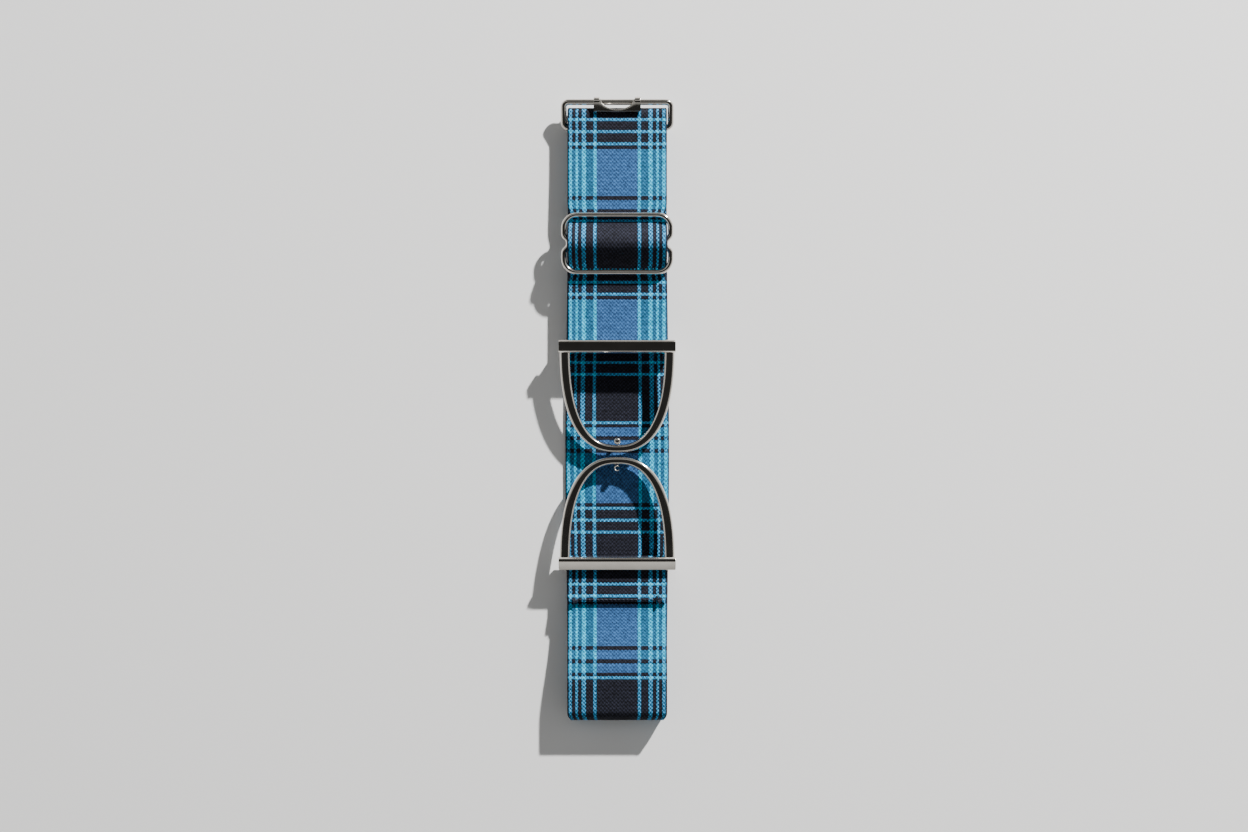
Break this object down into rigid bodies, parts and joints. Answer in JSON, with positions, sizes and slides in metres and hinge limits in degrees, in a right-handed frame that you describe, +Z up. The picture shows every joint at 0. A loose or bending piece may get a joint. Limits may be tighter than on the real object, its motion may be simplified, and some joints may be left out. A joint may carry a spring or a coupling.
{
  "type": "folded elastic belt with stirrup clasp",
  "caption": "Elastic plaid webbing belt folded flat, with a wire slide adjuster, an end link carrying a pivoting hook plate, and two stirrup-shaped clasp halves meeting at the middle",
  "frame": {"origin": "middle of the bounding box in X and Y, on the surface the back ply lies on", "axes": "+X across the webbing, +Y along the webbing towards the end link, +Z up from the surface; right-handed"},
  "size_m": [0.0582, 0.3123, 0.0155],
  "materials": {
    "webbing": "jacquard woven elastic, plaid of cyan, mid blue and near-black navy",
    "nickel": "polished nickel plate, slightly warm"
  },
  "bodies": {
    "back_ply": {"strap_back_ply": "webbing", "strap_top_fold": "webbing", "strap_bottom_fold": "webbing"},
    "upper_run": {"strap_upper_front": "webbing", "strap_upper_mid": "webbing", "strap_upper_tail": "webbing"},
    "adjuster": {"slide_adjuster": "nickel", "strap_adjuster_wave": "webbing", "strap_tail_loop": "webbing"},
    "upper_clasp": {"upper_stirrup_frame": "nickel", "upper_strap_pin": "nickel", "strap_upper_end_loop": "webbing", "catch_stud": "nickel"},
    "lower_run": {"strap_lower_front": "webbing", "strap_lower_tail": "webbing"},
    "lower_clasp": {"lower_stirrup_frame": "nickel", "lower_strap_pin": "nickel", "strap_lower_end_loop": "webbing", "catch_hook": "nickel"},
    "link": {"end_link": "nickel"},
    "plate": {"hook_plate": "nickel"}
  },
  "joints": [
    {"name": "upper_fold_opening", "type": "hinge", "parent": "back_ply", "child": "upper_run", "pos_m": [0, 0.1412, 0.00395], "axis": [-1, 0, 0], "range_deg": [0, 75], "deforming": ["strap_top_fold"]},
    {"name": "lower_fold_opening", "type": "hinge", "parent": "back_ply", "child": "lower_run", "pos_m": [0, -0.15005, 0.00595], "axis": [1, 0, 0], "range_deg": [0, 75], "deforming": ["strap_bottom_fold"]},
    {"name": "adjuster_slide", "type": "slide", "parent": "upper_run", "child": "adjuster", "axis": [0, 1, 0], "range_m": [-0.01, 0.02], "deforming": ["strap_upper_front", "strap_upper_mid", "strap_upper_tail"]},
    {"name": "upper_clasp_bend", "type": "hinge", "parent": "upper_run", "child": "upper_clasp", "pos_m": [0, 0.0421, 0.0053], "axis": [-1, 0, 0], "range_deg": [0, 75], "deforming": ["strap_upper_end_loop"]},
    {"name": "lower_clasp_bend", "type": "hinge", "parent": "lower_run", "child": "lower_clasp", "pos_m": [0, -0.088, 0.0053], "axis": [1, 0, 0], "range_deg": [0, 75], "deforming": ["strap_lower_end_loop", "strap_lower_front", "strap_lower_tail"]},
    {"name": "link_swing", "type": "hinge", "parent": "back_ply", "child": "link", "pos_m": [0, 0.1412, 0.00395], "axis": [1, 0, 0], "range_deg": [0, 30]},
    {"name": "hook_plate_swing", "type": "hinge", "parent": "link", "child": "plate", "pos_m": [0, 0.1536, 0.007], "axis": [-1, 0, 0], "range_deg": [0, 110]}
  ]
}
